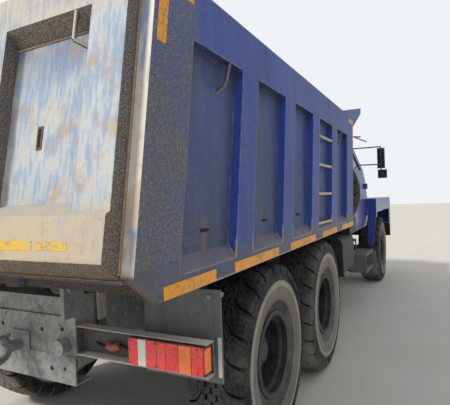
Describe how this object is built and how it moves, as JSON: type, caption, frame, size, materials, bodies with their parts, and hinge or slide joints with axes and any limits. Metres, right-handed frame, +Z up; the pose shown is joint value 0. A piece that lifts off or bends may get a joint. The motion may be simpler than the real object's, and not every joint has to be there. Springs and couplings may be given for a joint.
{
  "type": "dump truck",
  "caption": "Bonneted all-wheel-drive dump truck with a rear-tipping steel body, top-hung tailgate, telescopic hoist, steered front wheels, opening doors and bonnet.",
  "frame": {"origin": "centre of the footprint on the ground, midway between the bumper's face and the tailgate's lower beam", "axes": "+Z up, the truck's front towards -Y, its right-hand side at -X"},
  "size_m": [2.86, 8.711, 2.854],
  "materials": {
    "chassis_paint": "semi-gloss",
    "cab_blue": "semi-gloss",
    "body_blue": "semi-gloss",
    "gate_blue": "matt",
    "tyre_rubber": "matt",
    "rim_paint": "matt",
    "window_glass": "gloss",
    "seat_cover": "satin",
    "dash_plastic": "matt",
    "cast_grey": "matt",
    "bare_steel": "satin",
    "bumper_paint": "semi-gloss",
    "lamp_plastic": "gloss",
    "flap_rubber": "matt",
    "step_paint": "matt"
  },
  "bodies": {
    "chassis": {"frame_rails": "chassis_paint", "tipping_subframe": "chassis_paint", "front_bumper": "bumper_paint", "radiator_grille": "cab_blue", "front_wings": "cab_blue", "cab_shell": "cab_blue", "cab_glass": "window_glass", "seats": "seat_cover", "dashboard": "dash_plastic", "steering_wheel": "dash_plastic", "axles": "cast_grey", "leaf_springs": "cast_grey", "drive_line": "cast_grey", "exhaust_and_air_tanks": "bare_steel", "side_tanks": "chassis_paint", "tool_boxes": "cab_blue", "cab_steps": "step_paint", "spare_wheel": "rim_paint", "spare_tyre": "tyre_rubber", "lamp_brackets": "chassis_paint", "lamps": "lamp_plastic", "mudflaps": "flap_rubber"},
    "tipping_body": {"tipping_body": "body_blue"},
    "tailgate": {"tailgate": "gate_blue"},
    "hoist_barrel": {"hoist_barrel": "bare_steel"},
    "hoist_rod": {"hoist_rod": "bare_steel"},
    "bonnet": {"bonnet": "cab_blue"},
    "tie_rod": {"tie_rod": "cast_grey"},
    "door_right": {"door_right": "cab_blue", "door_glass_right": "window_glass"},
    "knuckle_right": {"knuckle_right": "cast_grey"},
    "wheel_front_right": {"rim_front_right": "rim_paint", "tyre_front_right": "tyre_rubber"},
    "wheel_middle_right": {"rim_middle_right": "rim_paint", "tyre_middle_right": "tyre_rubber"},
    "wheel_rear_right": {"rim_rear_right": "rim_paint", "tyre_rear_right": "tyre_rubber"},
    "door_left": {"door_left": "cab_blue", "door_glass_left": "window_glass"},
    "knuckle_left": {"knuckle_left": "cast_grey"},
    "wheel_front_left": {"rim_front_left": "rim_paint", "tyre_front_left": "tyre_rubber"},
    "wheel_middle_left": {"rim_middle_left": "rim_paint", "tyre_middle_left": "tyre_rubber"},
    "wheel_rear_left": {"rim_rear_left": "rim_paint", "tyre_rear_left": "tyre_rubber"}
  },
  "joints": [
    {"name": "body_tip", "type": "hinge", "parent": "chassis", "child": "tipping_body", "pos_m": [0, 3.8, 1.25], "axis": [-1, 0, 0], "range_deg": [0, 50]},
    {"name": "tailgate_swing", "type": "hinge", "parent": "tipping_body", "child": "tailgate", "pos_m": [0, 4.1038, 2.54], "axis": [1, 0, 0], "range_deg": [0, 70]},
    {"name": "hoist_pivot", "type": "hinge", "parent": "chassis", "child": "hoist_barrel", "pos_m": [0, 0.84, 0.95], "axis": [1, 0, 0], "range_deg": [0, 13.24]},
    {"name": "hoist_stroke", "type": "slide", "parent": "hoist_barrel", "child": "hoist_rod", "axis": [0, 0.9886, 0.1506], "range_m": [0, 0.4869]},
    {"name": "bonnet_hinge", "type": "hinge", "parent": "chassis", "child": "bonnet", "pos_m": [0, -2.045, 1.945], "axis": [-1, 0, 0], "range_deg": [0, 60]},
    {"name": "steer_right", "type": "hinge", "parent": "chassis", "child": "knuckle_right", "pos_m": [-0.83, -3.16, 0.62], "axis": [0, 0, 1], "range_deg": [-28, 28]},
    {"name": "steer_left", "type": "hinge", "parent": "chassis", "child": "knuckle_left", "pos_m": [0.83, -3.16, 0.62], "axis": [0, 0, 1], "range_deg": [-28, 28]},
    {"name": "tie_rod_swing", "type": "hinge", "parent": "knuckle_left", "child": "tie_rod", "pos_m": [0.83, -2.975, 0.58], "axis": [0, 0, 1], "range_deg": [-28, 28]},
    {"name": "door_right_hinge", "type": "hinge", "parent": "chassis", "child": "door_right", "pos_m": [-1.108, -1.872, 1.6], "axis": [0, 0, 1], "range_deg": [0, 65]},
    {"name": "door_left_hinge", "type": "hinge", "parent": "chassis", "child": "door_left", "pos_m": [1.108, -1.872, 1.6], "axis": [0, 0, -1], "range_deg": [0, 65]},
    {"name": "wheel_front_right_spin", "type": "hinge", "parent": "knuckle_right", "child": "wheel_front_right", "pos_m": [-1, -3.16, 0.62], "axis": [1, 0, 0], "continuous": true},
    {"name": "wheel_middle_right_spin", "type": "hinge", "parent": "chassis", "child": "wheel_middle_right", "pos_m": [-1, 1.34, 0.62], "axis": [1, 0, 0], "continuous": true},
    {"name": "wheel_rear_right_spin", "type": "hinge", "parent": "chassis", "child": "wheel_rear_right", "pos_m": [-1, 2.74, 0.62], "axis": [1, 0, 0], "continuous": true},
    {"name": "wheel_front_left_spin", "type": "hinge", "parent": "knuckle_left", "child": "wheel_front_left", "pos_m": [1, -3.16, 0.62], "axis": [1, 0, 0], "continuous": true},
    {"name": "wheel_middle_left_spin", "type": "hinge", "parent": "chassis", "child": "wheel_middle_left", "pos_m": [1, 1.34, 0.62], "axis": [1, 0, 0], "continuous": true},
    {"name": "wheel_rear_left_spin", "type": "hinge", "parent": "chassis", "child": "wheel_rear_left", "pos_m": [1, 2.74, 0.62], "axis": [1, 0, 0], "continuous": true}
  ],
  "couplings": [
    {"joint": "hoist_pivot", "follows": "body_tip", "ratio": 0.26382},
    {"joint": "hoist_stroke", "follows": "body_tip", "m_per_rad": 0.55678},
    {"joint": "steer_left", "follows": "steer_right", "ratio": 1},
    {"joint": "tie_rod_swing", "follows": "steer_right", "ratio": -1}
  ]
}
